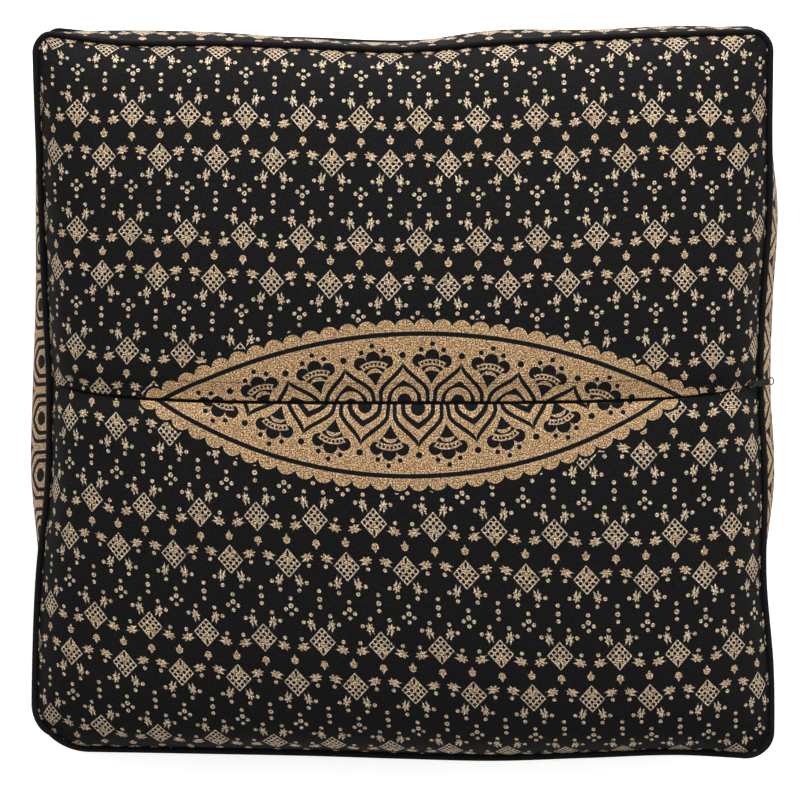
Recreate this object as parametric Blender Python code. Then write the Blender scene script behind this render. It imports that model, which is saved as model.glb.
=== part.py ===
"""Floor cushion cover on its filling: square, box-edged, piped, with a lapped zip across the shown face.

The cushion lies on its base panel. +X runs along the zip to its pull, +Y across it, +Z is up. Metres.
"""
import math

import bmesh
import bpy
from mathutils import Matrix, Vector

MM = 0.001

# Plan of the seams: half the width and depth before the sides are drawn in, and the corners' radii
HALF_X = 444 * MM
HALF_Y = 437.5 * MM
CORNER_RADIUS = {"ne": 24 * MM, "nw": 25 * MM, "sw": 66 * MM, "se": 34 * MM}

# Heights of the two seams at the corners, and how the face rises over its own
SEAM_TOP = 148 * MM
SEAM_BASE = 17 * MM
CROWN = 40 * MM
CROWN_POWER = 2.2
CROWN_SHARPNESS = 0.62
ROLL_WIDTH = 24 * MM

# Each side is read at nine even stations, west to east or south to north, in millimetres:
# pull is how far the seam is drawn in there, bulge how far the band stands out beyond it.
# drop is how far the face seam sinks at mid-side, roll how high the face's edge rolls up.
SIDES = {
    "north": {
        "pull": (1.5, 13, 14, 17.5, 22, 13, 7.2, 3, 0),
        "bulge": (3, 15.5, 14, 9, 9.4, 15.5, 11, 12, 6),
        "drop": 13 * MM,
        "roll": 20 * MM,
    },
    "south": {
        "pull": (15, 12.5, 9.5, 6.5, 2.7, 0.5, 4.8, 9.3, 4.5),
        "bulge": (6, 10, 11, 12, 12, 12, 11, 10, 6),
        "drop": 13 * MM,
        "roll": 34 * MM,
    },
    "west": {
        "pull": (0, 1, 6, 18, 20.5, 16.8, 14.3, 12, 10.5),
        "bulge": (6, 5, 8, 28, 27, 19, 15, 10.4, 3),
        "drop": 20 * MM,
        "roll": 36 * MM,
    },
    "east": {
        "pull": (0, 1.3, 10.7, 10, 16.4, 14.6, 8.8, 10.7, 11),
        "bulge": (6, 8, 10, 20, 20, 20, 18.8, 9, 6),
        "drop": 18 * MM,
        "roll": 30 * MM,
    },
}

# Base panel: its seam is drawn in less, and the weight presses it flat inside a share of its width
BASE_PULL = 0.8
BASE_DROP = 5 * MM
FLAT_SHARE = 0.82

# Zip line: it lies a little to +Y of the middle, bows further at its ends and lies in a furrow,
# which takes a share of the edge's roll away where the zip ends
ZIP_OFFSET = 6.5 * MM
ZIP_BOW = 14 * MM
FURROW_DEPTH = 5 * MM
FURROW_WIDTH = 15 * MM
FURROW_END_SHARE = 0.75

# Section across the folded lip and the slot under it, from the lower half to the upper half,
# as millimetres across the zip line and millimetres over the face
LIP_SECTION = (
    {"across": -9.0, "over": -0.5},
    {"across": -4.0, "over": -1.5},
    {"across": 2.5, "over": -2.6},
    {"across": 2.5, "over": -1.5},
    {"across": -1.2, "over": -1.4},
    {"across": -1.8, "over": -0.5},
    {"across": -0.4, "over": 0.4},
    {"across": 4.0, "over": 0.5},
    {"across": 10.0, "over": 0.2},
)
LIP_REACH = 12 * MM
LIP_FADE = 0.12

# Piping: a round cord in bias cloth, with the flange that is sewn into the seam
PIPING_RADIUS = 3 * MM
PIPING_FLANGE = 4.35 * MM
PIPING_ANGLES = (-104, -52, 0, 52, 104)
SEAM_GAP = 0.45 * MM

# Resolution: cells along half a side, levels down the band, how far cells crowd to the edges
HALF_CELLS = 18
BAND_LEVELS = 8
CROWDING = 0.62
TANGENT_STEP = 0.004

# Zip slider and its bridge, in the slider's own frame: +X to the pull, +Z off the cloth
SLIDER = {"length": 12.5 * MM, "width": 7.5 * MM, "height": 3.2 * MM, "edge": 0.8 * MM}
BRIDGE = {"length": 7 * MM, "width": 1.6 * MM, "rise": 3.2 * MM, "bar": 0.9 * MM, "edge": 0.3 * MM}
SLIDER_AT = 0.968
SLIDER_LIFT = 0.75 * MM

# Zip pull, in its own frame: the origin is on the bar that passes under the bridge
PULL_TAB = {"length": 23 * MM, "width": 8 * MM, "neck": 5.4 * MM, "thick": 1.0 * MM, "bar": 0.5 * MM}
TAB_SHOULDER = {"from": 3.6 * MM, "to": 6.0 * MM, "end_cut": 2.5 * MM, "end_share": 0.55}
PULL_SLOT = {"start": 0.5 * MM, "end": 3.2 * MM, "width": 3.0 * MM}
WIRE_RING = {"radius": 4.0 * MM, "wire": 0.75 * MM}
PULL_DIP = math.radians(34)
PULL_SWING = math.radians(6)
PULL_BACK = 1.0 * MM
PULL_LIFT = 1.15 * MM

# Where the plan's centre lies from the centre of the finished cushion's box
PLAN_CENTRE = Vector((0.1, 2.1, 0)) * MM

COTTON = {"colour": (0.012, 0.012, 0.014), "roughness": 0.9, "metallic": 0.0}
BIAS = {"colour": (0.006, 0.006, 0.007), "roughness": 0.85, "metallic": 0.0}
METAL = {"colour": (0.03, 0.03, 0.03), "roughness": 0.4, "metallic": 0.9}


def clear_scene():
    for item in list(bpy.data.objects):
        bpy.data.objects.remove(item, do_unlink=True)


def material(name, look):
    made = bpy.data.materials.new(name)
    made.use_nodes = True
    shader = made.node_tree.nodes["Principled BSDF"]
    shader.inputs["Base Color"].default_value = (*look["colour"], 1)
    shader.inputs["Roughness"].default_value = look["roughness"]
    shader.inputs["Metallic"].default_value = look["metallic"]
    return made


def object_from(name, shape, look):
    """One object from a bmesh: welded, facing outwards, with its own material."""
    bmesh.ops.remove_doubles(shape, verts=shape.verts, dist=1e-6)
    bmesh.ops.recalc_face_normals(shape, faces=shape.faces)
    mesh = bpy.data.meshes.new(name)
    shape.to_mesh(mesh)
    shape.free()
    made = bpy.data.objects.new(name, mesh)
    bpy.context.collection.objects.link(made)
    if look:
        made.data.materials.append(material(name, look))
    return made


def skin(shape, rows):
    """Joins rows of points, all of one length, into quads."""
    made = [[shape.verts.new(point) for point in row] for row in rows]
    for lower, upper in zip(made, made[1:]):
        for k in range(len(lower) - 1):
            shape.faces.new((lower[k], lower[k + 1], upper[k + 1], upper[k]))


def read_stations(values, along):
    """A smooth curve through a side's stations; along runs from -1 to 1."""
    last = len(values) - 1
    place = (along + 1) / 2 * last
    first = min(int(place), last - 1)
    part = place - first
    before, start, end, after = (values[min(max(first + k, 0), last)] for k in (-1, 0, 1, 2))
    square, cube = part**2, part**3
    level = (2 * cube - 3 * square + 1) * start + (3 * square - 2 * cube) * end
    slope = (cube - 2 * square + part) * (end - before) / 2 + (cube - square) * (after - start) / 2
    return (level + slope) * MM


def side_at(s, t):
    """The side that a point on the edge of the unit square is on, and how far along it lies."""
    if abs(s) >= abs(t):
        return ("east" if s > 0 else "west"), t
    return ("north" if t > 0 else "south"), s


def seam_plan(s, t, pull_share):
    """Plan of a seam at (s, t) on the edge of the unit square: drawn in, with rounded corners."""
    side, along = side_at(s, t)
    upright = side in ("east", "west")
    half_along, half_out = (HALF_Y, HALF_X) if upright else (HALF_X, HALF_Y)
    radius = CORNER_RADIUS[("n" if t > 0 else "s") + ("e" if s > 0 else "w")]
    reach = half_along * (1 - abs(along))
    turn = math.pi / 4 * max(0.0, 1 - reach / radius)
    run = half_along - reach if reach >= radius else half_along - radius * (1 - math.sin(turn))
    if upright:
        next_side, next_along = ("north" if t > 0 else "south"), math.copysign(1, s)
    else:
        next_side, next_along = ("east" if s > 0 else "west"), math.copysign(1, t)
    run -= pull_share * read_stations(SIDES[next_side]["pull"], next_along) * abs(along) ** 8
    out = half_out - radius * (1 - math.cos(turn))
    out -= pull_share * read_stations(SIDES[side]["pull"], along)
    run = math.copysign(run, along)
    out = math.copysign(out, s if upright else t)
    return (out, run) if upright else (run, out)


def inward(s, t, pull_share=1.0):
    """Unit step from a seam into the cushion, level and square to the seam."""
    angle = math.atan2(t, s)
    ends = []
    for turned in (angle - TANGENT_STEP, angle + TANGENT_STEP):
        c, d = math.cos(turned), math.sin(turned)
        size = max(abs(c), abs(d))
        ends.append(Vector(seam_plan(c / size, d / size, pull_share)))
    run = (ends[1] - ends[0]).normalized()
    return Vector((-run.y, run.x, 0))


def zip_shift(s, t):
    """How far rows follow the zip line's offset and bow, less and less towards north and south."""
    return (ZIP_OFFSET + ZIP_BOW * s**4) * (1 - abs(t)) ** 2


def seam_sink(s, t):
    """How far the face sinks with its seam between the corners, fading in from the middle."""
    side_x, side_y = SIDES["east" if s > 0 else "west"], SIDES["north" if t > 0 else "south"]
    return side_x["drop"] * (1 - t * t) ** 1.5 * s**4 + side_y["drop"] * (1 - s * s) ** 1.5 * t**4


def face_rise(s, t):
    """Height of the face over its seam: a broad crown, a quick roll at the edges and the zip's furrow."""
    crown = CROWN
    for share in (s, t):
        crown *= (1 - abs(share) ** CROWN_POWER) ** CROWN_SHARPNESS
    roll_x = SIDES["east" if s > 0 else "west"]["roll"]
    roll_y = SIDES["north" if t > 0 else "south"]["roll"]
    middle = sum(side["roll"] for side in SIDES.values()) / 4
    roll = middle + (roll_x - middle) * s * s * (1 - t**4) + (roll_y - middle) * t * t * (1 - s**4)
    near_x = 1 - math.exp(-HALF_X * (1 - abs(s)) / ROLL_WIDTH)
    near_y = 1 - math.exp(-HALF_Y * (1 - abs(t)) / ROLL_WIDTH)
    furrow = math.exp(-((HALF_Y * t / FURROW_WIDTH) ** 2))
    roll *= 1 - FURROW_END_SHARE * s**8 * furrow
    return crown + roll * near_x * near_y - FURROW_DEPTH * furrow * (1 - s**8)


def face_seam(s, t):
    """Centre of the cord in the face seam."""
    x, y = seam_plan(s, t, 1.0)
    return PLAN_CENTRE + Vector((x, y + zip_shift(s, t), SEAM_TOP - seam_sink(s, t)))


def base_seam(s, t):
    """Centre of the cord in the base seam."""
    x, y = seam_plan(s, t, BASE_PULL)
    sink = BASE_DROP * ((1 - t * t) * s**4 + (1 - s * s) * t**4)
    return PLAN_CENTRE + Vector((x, y, SEAM_BASE - sink))


def face_point(s, t):
    """A point of the face panels, which stay clear of the piping at their edge."""
    share = max(abs(s), abs(t), 1e-9)
    edge_s, edge_t = s / share, t / share
    weight = share**6
    edge = Vector((*seam_plan(edge_s, edge_t, 1.0), 0))
    edge += inward(edge_s, edge_t) * (PIPING_FLANGE + SEAM_GAP)
    plain = Vector((HALF_X * s, HALF_Y * t, 0))
    point = plain * (1 - weight) + edge * share * weight
    height = SEAM_TOP - seam_sink(s, t) + face_rise(s, t)
    return PLAN_CENTRE + point + Vector((0, zip_shift(s, t), height))


def base_point(s, t):
    """A point of the base panel: flat where it rests, rising to its seam."""
    share = max(abs(s), abs(t), 1e-9)
    edge_s, edge_t = s / share, t / share
    edge = base_seam(edge_s, edge_t) + inward(edge_s, edge_t, BASE_PULL) * (PIPING_FLANGE + SEAM_GAP)
    lift = max(0.0, (share - FLAT_SHARE) / (1 - FLAT_SHARE)) ** 1.6
    plan = PLAN_CENTRE + (edge - PLAN_CENTRE) * share
    return Vector((plan.x, plan.y, edge.z * lift))


def band_point(s, t, level):
    """A point of the box band: level runs from 0 at the face seam to 1 at the base seam."""
    side, along = side_at(s, t)
    out = -inward(s, t)
    bulge = read_stations(SIDES[side]["bulge"], along) * math.sin(math.pi * level)
    return face_point(s, t).lerp(base_point(s, t), level) + out * bulge


def values_along():
    """Stations along the zip, from -1 to 1, closer at the edges."""
    half = [k / HALF_CELLS for k in range(HALF_CELLS + 1)]
    half = [(1 - CROWDING) * v + CROWDING * math.sin(math.pi / 2 * v) for v in half]
    return [-v for v in reversed(half[1:])] + half


def values_across():
    """Stations across the zip, from -1 to 1, closer at the edges and beside the zip."""
    half = [k / HALF_CELLS for k in range(HALF_CELLS + 1)]
    half = [v - CROWDING * math.sin(2 * math.pi * v) / (2 * math.pi) for v in half]
    half = [0.0] + [v for v in half if v * HALF_Y > LIP_REACH]
    return [-v for v in reversed(half[1:])] + half


def perimeter():
    """Points round the edge of the unit square from the south-west corner, ending where they began."""
    along, across = values_along(), values_across()
    south = [(v, -1.0) for v in along[:-1]]
    east = [(1.0, v) for v in across[:-1]]
    north = [(v, 1.0) for v in reversed(along[1:])]
    west = [(-1.0, v) for v in reversed(across[1:])]
    return south + east + north + west + south[:1]


def lip_rows():
    """Rows of the section across the lip, which closes up at both ends of the zip."""
    for offset in LIP_SECTION:
        row = []
        for s in values_along():
            fade = min(1.0, (1 - abs(s)) / LIP_FADE)
            point = face_point(s, offset["across"] * MM * fade / HALF_Y)
            row.append(point + Vector((0, 0, offset["over"] * MM * fade)))
        yield row


def build_body():
    """The filled cushion: both halves of the face with the zip's lip, the box band and the base."""
    shape = bmesh.new()
    along, across = values_along(), values_across()
    lower = [[face_point(s, t) for s in along] for t in across if t < 0]
    upper = [[face_point(s, t) for s in along] for t in across if t > 0]
    skin(shape, lower + list(lip_rows()) + upper)
    skin(shape, [[base_point(s, t) for s in along] for t in across])
    levels = [k / BAND_LEVELS for k in range(BAND_LEVELS + 1)]
    skin(shape, [[band_point(s, t, level) for s, t in perimeter()] for level in levels])
    return object_from("cushion_body", shape, COTTON)


def build_piping(name, seam, pull_share):
    """A closed ring of piping: a cord's round section that narrows to its flange in the seam."""
    shape = bmesh.new()
    rows = []
    for s, t in perimeter():
        centre, out = seam(s, t), -inward(s, t, pull_share)
        section = []
        for degrees in PIPING_ANGLES:
            turn = math.radians(degrees)
            section.append(centre + (out * math.cos(turn) + Vector((0, 0, math.sin(turn)))) * PIPING_RADIUS)
        section.append(centre - out * PIPING_FLANGE)
        rows.append(section + section[:1])
    skin(shape, rows)
    return object_from(name, shape, BIAS)


def block(low, high, edge=0.0):
    """A box between two corners, as a bmesh, with its edges rounded off."""
    shape = bmesh.new()
    size = Vector(high) - Vector(low)
    middle = (Vector(high) + Vector(low)) / 2
    bmesh.ops.create_cube(shape, size=1, matrix=Matrix.Translation(middle) @ Matrix.Diagonal((*size, 1)))
    if edge:
        bmesh.ops.bevel(shape, geom=shape.edges, offset=edge, segments=2, profile=0.5, affect="EDGES")
    return shape


def join(target, tool, operation):
    """Adds or cuts a hidden tool that sits in the target's own frame."""
    tool.parent = target
    tool.hide_render = True
    tool.display_type = "WIRE"
    cut = target.modifiers.new(tool.name, "BOOLEAN")
    cut.operation = operation
    cut.object = tool


def zip_frame():
    """The slider's place on the cloth: origin under its middle, +X down the slope to the piping."""
    here = face_point(SLIDER_AT, 0.0)
    run = (face_point(SLIDER_AT + 0.01, 0.0) - face_point(SLIDER_AT - 0.01, 0.0)).normalized()
    up = run.cross(Vector((0, 1, 0))).normalized()
    side = up.cross(run)
    turned = Matrix((run, side, up)).transposed().to_4x4()
    return Matrix.Translation(here + up * SLIDER_LIFT) @ turned


def build_slider():
    """The zip's slider with the bridge that holds its pull."""
    half_length, half_width, height = SLIDER["length"] / 2, SLIDER["width"] / 2, SLIDER["height"]
    plate = block((-half_length, -half_width, 0), (half_length, half_width, height), SLIDER["edge"])
    slider = object_from("zip_slider", plate, METAL)
    reach, half, bar = BRIDGE["length"] / 2, BRIDGE["width"] / 2, BRIDGE["bar"]
    top = height + BRIDGE["rise"]
    arch = object_from("zip_bridge", block((-reach, -half, height / 2), (reach, half, top), BRIDGE["edge"]), None)
    gap_low = (-reach + bar, -2 * half, height)
    gap_high = (reach - bar, 2 * half, top - bar)
    join(slider, arch, "UNION")
    join(slider, object_from("zip_bridge_gap", block(gap_low, gap_high), None), "DIFFERENCE")
    slider.matrix_world = zip_frame()
    return slider


def tab_outline():
    """Half the pull's outline, from its bar to its outer end, as length along and half width."""
    neck, full, length = PULL_TAB["neck"] / 2, PULL_TAB["width"] / 2, PULL_TAB["length"]
    return (
        (-PULL_TAB["bar"], neck),
        (TAB_SHOULDER["from"], neck),
        (TAB_SHOULDER["to"], full),
        (length - TAB_SHOULDER["end_cut"], full),
        (length, TAB_SHOULDER["end_share"] * full),
    )


def build_pull():
    """The pull: a flat tab, slotted for the bridge, with a wire ring at its outer end."""
    half = tab_outline()
    outline = list(half) + [(x, -y) for x, y in reversed(half)]
    shape = bmesh.new()
    low = [shape.verts.new((x, y, -PULL_TAB["thick"] / 2)) for x, y in outline]
    made = bmesh.ops.extrude_face_region(shape, geom=[shape.faces.new(low)])
    raised = [v for v in made["geom"] if isinstance(v, bmesh.types.BMVert)]
    bmesh.ops.translate(shape, verts=raised, vec=(0, 0, PULL_TAB["thick"]))
    pull = object_from("zip_pull", shape, METAL)
    half_slot = PULL_SLOT["width"] / 2
    slot = block((PULL_SLOT["start"], -half_slot, -2 * MM), (PULL_SLOT["end"], half_slot, 2 * MM))
    join(pull, object_from("pull_slot", slot, None), "DIFFERENCE")
    middle = PULL_TAB["length"] + WIRE_RING["radius"] - 1.2 * WIRE_RING["wire"]
    bpy.ops.mesh.primitive_torus_add(
        major_segments=24,
        minor_segments=6,
        major_radius=WIRE_RING["radius"],
        minor_radius=WIRE_RING["wire"],
        location=(middle, 0, 0),
    )
    ring = bpy.context.object
    ring.name = "pull_ring"
    join(pull, ring, "UNION")
    bar = Vector((BRIDGE["length"] / 2 - BRIDGE["bar"] - PULL_BACK, 0, SLIDER["height"] + PULL_LIFT))
    swing = Matrix.Rotation(PULL_SWING, 4, "Z")
    pull.matrix_world = Matrix.Translation(zip_frame() @ bar) @ swing @ Matrix.Rotation(PULL_DIP, 4, "Y")
    return pull


def main():
    clear_scene()
    build_body()
    build_piping("piping_face", face_seam, 1.0)
    build_piping("piping_base", base_seam, BASE_PULL)
    build_slider()
    build_pull()


if __name__ == "__main__":
    main()
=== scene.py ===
"""Looks of a square, box-edged floor cushion cover: black cotton with a gold print, piped, lapped zip."""
import math

import bmesh
import bpy
import numpy as np
from mathutils import Matrix, Vector, noise


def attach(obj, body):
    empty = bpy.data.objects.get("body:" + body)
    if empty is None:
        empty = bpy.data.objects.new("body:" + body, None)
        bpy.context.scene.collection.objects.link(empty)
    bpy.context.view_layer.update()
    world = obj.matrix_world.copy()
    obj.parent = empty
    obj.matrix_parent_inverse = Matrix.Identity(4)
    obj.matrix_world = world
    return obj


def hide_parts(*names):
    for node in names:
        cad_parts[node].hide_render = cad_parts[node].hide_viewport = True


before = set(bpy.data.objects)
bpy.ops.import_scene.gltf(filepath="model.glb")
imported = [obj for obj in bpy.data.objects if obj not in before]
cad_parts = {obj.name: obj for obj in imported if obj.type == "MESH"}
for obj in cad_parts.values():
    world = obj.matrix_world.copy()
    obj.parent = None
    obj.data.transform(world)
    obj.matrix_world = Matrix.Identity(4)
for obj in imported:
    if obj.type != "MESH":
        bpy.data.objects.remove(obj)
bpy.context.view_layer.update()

bl_info = {
    "name": "Floor cushion cover",
    "version": (1, 0, 0),
    "blender": (4, 5, 0),
    "location": "View3D > Sidebar > Cushion",
    "description": "Builds a printed, piped floor cushion cover with a lapped zip",
    "category": "Object",
}

MM = 0.001

# Plan of the seams: half the width and depth before the sides are drawn in, and the corners' radii
HALF_X = 444 * MM
HALF_Y = 437.5 * MM
CORNER_RADIUS = {"ne": 24 * MM, "nw": 25 * MM, "sw": 66 * MM, "se": 34 * MM}
TANGENT_STEP = 0.004

# Heights of the two seams at the corners, and how the face rises over its own
SEAM_TOP = 148 * MM
SEAM_BASE = 17 * MM
CROWN = 40 * MM
CROWN_POWER = 2.2
CROWN_SHARPNESS = 0.62
ROLL_WIDTH = 24 * MM

# Nine even stations a side, in millimetres: how far the seam is drawn in, how far the band stands out
SIDES = {
    "north": {
        "pull": (1.5, 13, 14, 17.5, 22, 13, 7.2, 3, 0),
        "bulge": (3, 15.5, 14, 9, 9.4, 15.5, 11, 12, 6),
        "drop": 13 * MM,
        "roll": 20 * MM,
    },
    "south": {
        "pull": (15, 12.5, 9.5, 6.5, 2.7, 0.5, 4.8, 9.3, 4.5),
        "bulge": (6, 10, 11, 12, 12, 12, 11, 10, 6),
        "drop": 13 * MM,
        "roll": 34 * MM,
    },
    "west": {
        "pull": (0, 1, 6, 18, 20.5, 16.8, 14.3, 12, 10.5),
        "bulge": (6, 5, 8, 28, 27, 19, 15, 10.4, 3),
        "drop": 20 * MM,
        "roll": 36 * MM,
    },
    "east": {
        "pull": (0, 1.3, 10.7, 10, 16.4, 14.6, 8.8, 10.7, 11),
        "bulge": (6, 8, 10, 20, 20, 20, 18.8, 9, 6),
        "drop": 18 * MM,
        "roll": 30 * MM,
    },
}
BASE_PULL = 0.8
BASE_DROP = 5 * MM
FLAT_SHARE = 0.82

# Zip line, furrow and the section across the lip and the slot under it, in millimetres
ZIP_OFFSET = 6.5 * MM
ZIP_BOW = 14 * MM
FURROW_DEPTH = 5 * MM
FURROW_WIDTH = 15 * MM
FURROW_END_SHARE = 0.75
LOWER_SECTION = (
    (-9.0, 0.0),
    (-6.0, 0.1),
    (-4.0, 0.0),
    (-3.4, -0.4),
    (-3.1, -1.2),
    (-3.0, -2.6),
    (-0.5, -3.6),
    (2.5, -3.8),
)
TAPE_ROWS = 3
LIP_SECTION = (
    (2.5, -1.6),
    (0.5, -1.6),
    (-1.0, -1.5),
    (-1.5, -1.0),
    (-1.5, -0.1),
    (-0.9, 0.7),
    (0.0, 1.0),
    (2.0, 1.0),
    (5.0, 0.7),
    (10.0, 0.2),
)
LIP_REACH = 12 * MM
LIP_FADE = 0.12
STITCH_LINE = 28 * MM
STITCH = 3.4 * MM

PIPING_RADIUS = 3 * MM
PIPING_FLANGE = 4.35 * MM
SEAM_GAP = 0.45 * MM
TUCK = 2.4 * MM
TUCK_SINK = 0.3 * MM

# Folds of the face: broad and small ones, the valley and gathers along the zip, and the short simulation
BROAD_FOLD = (110 * MM, 90 * MM)
SMALL_FOLD = (50 * MM, 45 * MM)
FOLD_FADE = 50 * MM
VALLEY_DEPTH = 6 * MM
VALLEY_WIDTH = 70 * MM
LIP_GATHERS = 0.35
PRESSURE = 4.0
SETTLE_FRAMES = 20
SETTLE_CAP = 4 * MM
PLAN_CENTRE = Vector((0.1, 2.1, 0)) * MM

# Camera: straight over the face but for a tilt towards its top edge
VIEW_TILT = math.radians(7)
VIEW_DISTANCE = 4.5
VIEW_TARGET = Vector((-3.5, 2.7, 150)) * MM
FRAME_WIDTH = 800 * 1.189 * MM
SENSOR = 36.0

# Prints, in metres on the flat cloth; in the field x runs along a row, y away from the slotted point
PITCH = 68.6 * MM
REPEAT = 141.0 * MM
ROW_STEP = 51.8 * MM
LOZENGE = (15.4 * MM, 17.3 * MM)
DOT = 2.55 * MM
FIELD_TRIM = 0.31 * MM
LATTICE_STEP = 0.468
FIELD_PX = REPEAT / 120.6
BORDER_PX = 1.17 * MM
SCALLOP_PITCH = 22.1 * MM
BAND_POINT = 0.95

# Looks of the cloth: scales of the ink's grain and the threads, spacing of the two weaves, and the gold's
# dull tone and the pale tone of its painted highlight, a sparkle painted on the ink
GRAIN_SCALE = 620.0
THREAD_SCALE = 520.0
WEAVE = 0.75 * MM
TWILL = 0.8 * MM
PATCH_TONE = "#6e4f35"
PAINTED_GLINT_TONE = "#ecd9bd"


def look_props():
    """The sizes and colours set in the sidebar."""
    return bpy.context.scene.cushion_look


def hex_colour(code):
    """sRGB hex to the linear values that shaders use."""
    parts = [int(code[k : k + 2], 16) / 255 for k in (1, 3, 5)]
    return tuple(p / 12.92 if p <= 0.04045 else ((p + 0.055) / 1.055) ** 2.4 for p in parts) + (1.0,)


class CushionLook(bpy.types.PropertyGroup):
    """Sizes and colours of the cover."""

    cloth: bpy.props.FloatVectorProperty(
        name="Cloth",
        description="Dyed cotton",
        subtype="COLOR",
        size=4,
        min=0,
        max=1,
        default=hex_colour("#0e0e0f"),
    )
    ink: bpy.props.FloatVectorProperty(
        name="Gold",
        description="Printed gold",
        subtype="COLOR",
        size=4,
        min=0,
        max=1,
        default=hex_colour("#8a6c48"),
    )
    rim: bpy.props.FloatVectorProperty(
        name="Gold rim",
        description="Gold at its edges",
        subtype="COLOR",
        size=4,
        min=0,
        max=1,
        default=hex_colour("#ab9e89"),
    )
    piping: bpy.props.FloatVectorProperty(
        name="Piping",
        description="Bias cloth",
        subtype="COLOR",
        size=4,
        min=0,
        max=1,
        default=hex_colour("#0c0c0e"),
    )
    ripple: bpy.props.FloatProperty(
        name="Ripple",
        description="Height of the gathers",
        subtype="DISTANCE",
        unit="LENGTH",
        default=0.9 * MM,
    )
    slack: bpy.props.FloatProperty(
        name="Slack",
        description="Share that the cloth is cut too large",
        subtype="FACTOR",
        min=0,
        max=0.1,
        default=0.012,
    )
    fill: bpy.props.FloatProperty(
        name="Fill", description="How full the cushion is", subtype="FACTOR", min=0, max=1, default=0.85
    )


def read_stations(values, along):
    """A smooth curve through a side's stations; along runs from -1 to 1."""
    last = len(values) - 1
    place = (along + 1) / 2 * last
    first = min(int(place), last - 1)
    part = place - first
    before, start, end, after = (values[min(max(first + k, 0), last)] for k in (-1, 0, 1, 2))
    square, cube = part**2, part**3
    level = (2 * cube - 3 * square + 1) * start + (3 * square - 2 * cube) * end
    slope = (cube - 2 * square + part) * (end - before) / 2 + (cube - square) * (after - start) / 2
    return (level + slope) * MM


def side_at(s, t):
    """The side that a point on the edge of the unit square is on, and how far along it lies."""
    if abs(s) >= abs(t):
        return ("east" if s > 0 else "west"), t
    return ("north" if t > 0 else "south"), s


def seam_plan(s, t, pull_share):
    """Plan of a seam at (s, t) on the edge of the unit square: drawn in, with rounded corners."""
    side, along = side_at(s, t)
    upright = side in ("east", "west")
    half_along, half_out = (HALF_Y, HALF_X) if upright else (HALF_X, HALF_Y)
    radius = CORNER_RADIUS[("n" if t > 0 else "s") + ("e" if s > 0 else "w")]
    reach = half_along * (1 - abs(along))
    turn = math.pi / 4 * max(0.0, 1 - reach / radius)
    run = half_along - reach if reach >= radius else half_along - radius * (1 - math.sin(turn))
    if upright:
        next_side, next_along = ("north" if t > 0 else "south"), math.copysign(1, s)
    else:
        next_side, next_along = ("east" if s > 0 else "west"), math.copysign(1, t)
    run -= pull_share * read_stations(SIDES[next_side]["pull"], next_along) * abs(along) ** 8
    out = half_out - radius * (1 - math.cos(turn))
    out -= pull_share * read_stations(SIDES[side]["pull"], along)
    run = math.copysign(run, along)
    out = math.copysign(out, s if upright else t)
    return (out, run) if upright else (run, out)


def inward(s, t, pull_share=1.0):
    """Unit step from a seam into the cushion, level and square to the seam."""
    angle = math.atan2(t, s)
    ends = []
    for turned in (angle - TANGENT_STEP, angle + TANGENT_STEP):
        c, d = math.cos(turned), math.sin(turned)
        size = max(abs(c), abs(d))
        ends.append(Vector(seam_plan(c / size, d / size, pull_share)))
    run = (ends[1] - ends[0]).normalized()
    return Vector((-run.y, run.x, 0))


def zip_shift(s, t):
    """How far rows follow the zip line's bow, less and less towards north and south."""
    return (ZIP_OFFSET + ZIP_BOW * s**4) * (1 - abs(t)) ** 2


def seam_sink(s, t):
    """How far the face sinks with its seam between the corners, fading in from the middle."""
    side_x, side_y = SIDES["east" if s > 0 else "west"], SIDES["north" if t > 0 else "south"]
    return side_x["drop"] * (1 - t * t) ** 1.5 * s**4 + side_y["drop"] * (1 - s * s) ** 1.5 * t**4


def face_rise(s, t):
    """Height of the face over its seam: a broad crown, a quick roll at the edges and the zip's furrow."""
    crown = CROWN
    for share in (s, t):
        crown *= (1 - abs(share) ** CROWN_POWER) ** CROWN_SHARPNESS
    roll_x = SIDES["east" if s > 0 else "west"]["roll"]
    roll_y = SIDES["north" if t > 0 else "south"]["roll"]
    middle = sum(side["roll"] for side in SIDES.values()) / 4
    roll = middle + (roll_x - middle) * s * s * (1 - t**4) + (roll_y - middle) * t * t * (1 - s**4)
    near_x = 1 - math.exp(-HALF_X * (1 - abs(s)) / ROLL_WIDTH)
    near_y = 1 - math.exp(-HALF_Y * (1 - abs(t)) / ROLL_WIDTH)
    furrow = math.exp(-((HALF_Y * t / FURROW_WIDTH) ** 2))
    roll *= 1 - FURROW_END_SHARE * s**8 * furrow
    return crown + roll * near_x * near_y - FURROW_DEPTH * furrow * (1 - s**8)


def face_seam(s, t):
    """Centre of the cord in the face seam."""
    x, y = seam_plan(s, t, 1.0)
    return PLAN_CENTRE + Vector((x, y + zip_shift(s, t), SEAM_TOP - seam_sink(s, t)))


def base_seam(s, t):
    """Centre of the cord in the base seam."""
    x, y = seam_plan(s, t, BASE_PULL)
    sink = BASE_DROP * ((1 - t * t) * s**4 + (1 - s * s) * t**4)
    return PLAN_CENTRE + Vector((x, y, SEAM_BASE - sink))


def face_point(s, t):
    """A point of the face panels, which stay clear of the piping at their edge."""
    share = max(abs(s), abs(t), 1e-9)
    edge_s, edge_t = s / share, t / share
    weight = share**6
    edge = Vector((*seam_plan(edge_s, edge_t, 1.0), 0))
    edge += inward(edge_s, edge_t) * (PIPING_FLANGE + SEAM_GAP)
    plain = Vector((HALF_X * s, HALF_Y * t, 0))
    point = plain * (1 - weight) + edge * share * weight
    height = SEAM_TOP - seam_sink(s, t) + face_rise(s, t)
    return PLAN_CENTRE + point + Vector((0, zip_shift(s, t), height))


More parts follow.
